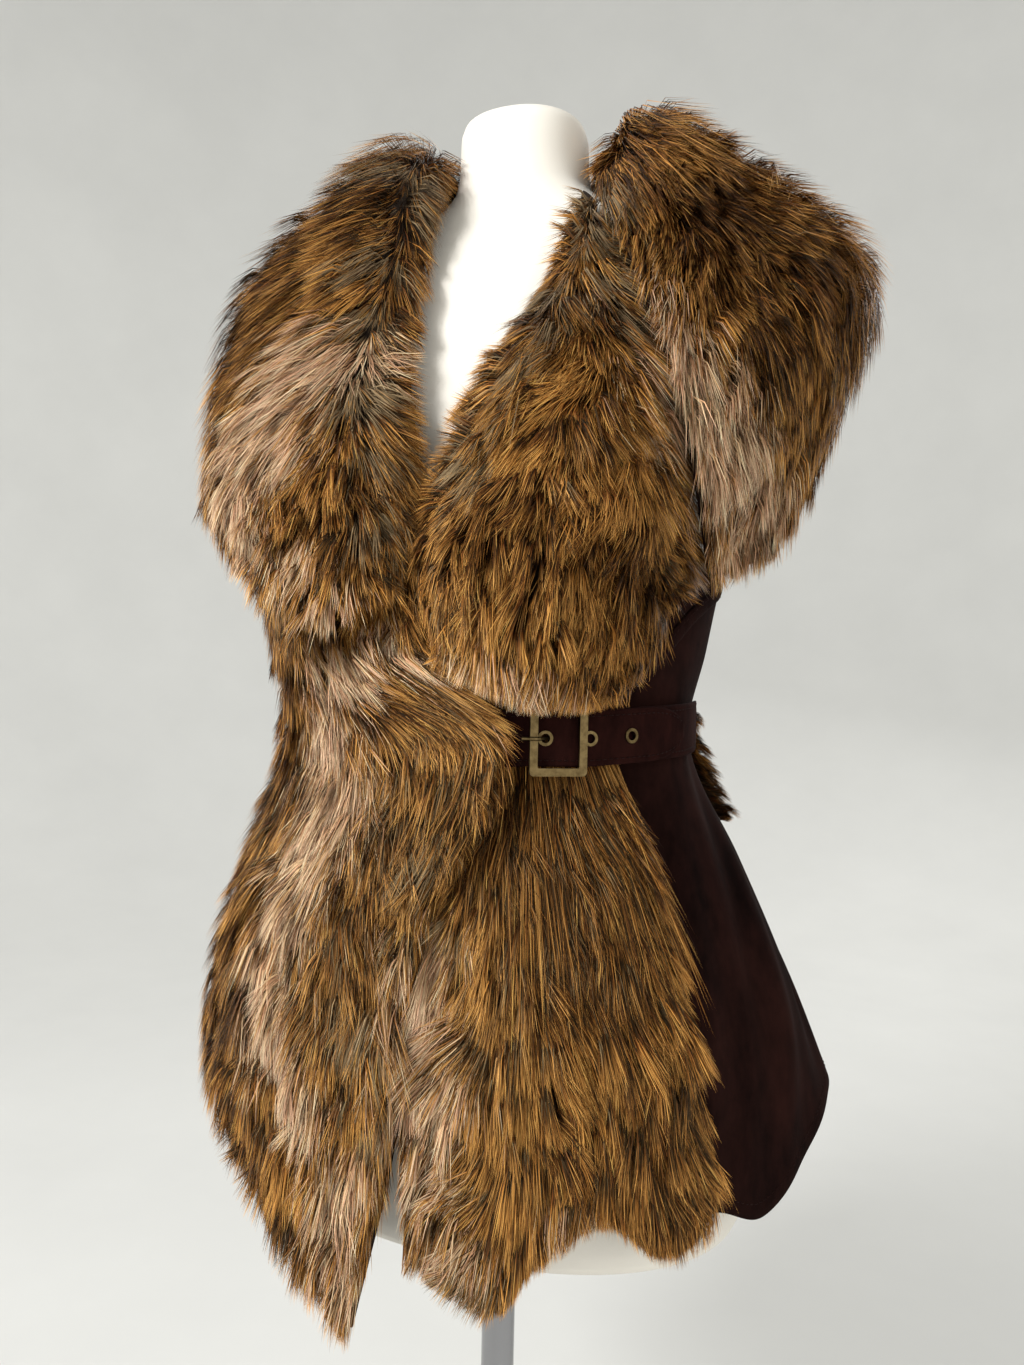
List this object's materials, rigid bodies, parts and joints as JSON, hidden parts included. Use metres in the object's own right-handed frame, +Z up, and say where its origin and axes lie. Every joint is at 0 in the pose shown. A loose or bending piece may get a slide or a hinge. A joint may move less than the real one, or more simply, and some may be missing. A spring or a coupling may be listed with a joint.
{
  "type": "faux fur vest on a dress form",
  "caption": "Sleeveless belted vest of faux suede and long faux fur with a wide shawl collar, on a limbless dress form with a pole and a round base.",
  "frame": {"origin": "centre of the underside of the stand's base", "axes": "+Z up, the form faces -Y, +X is the wearer's left"},
  "size_m": [0.4871, 0.3759, 1.1129],
  "materials": {
    "fur": "long faux fur, brown with dark flecks and pale streaks",
    "suede": "faux suede, dark chocolate",
    "belt": "faux suede, stitched",
    "brass": "antique brass",
    "form": "off-white stretched cloth",
    "steel": "polished"
  },
  "bodies": {
    "root": {"form_torso": "form", "form_pole": "steel", "form_base": "steel", "front_right_fur": "fur", "front_left_fur": "fur", "seam_left_fur": "fur", "collar_right": "fur", "collar_back": "fur", "collar_left": "fur", "lapel_left": "fur", "front_left_suede": "suede", "side_left_suede": "suede", "back_suede": "suede", "edge_left_suede": "suede", "belt_tip": "belt", "belt_buckle_end": "belt", "belt_eyelet_1": "brass", "belt_eyelet_2": "brass", "belt_eyelet_3": "brass", "buckle_frame": "brass", "buckle_prong": "brass"}
  },
  "joints": []
}
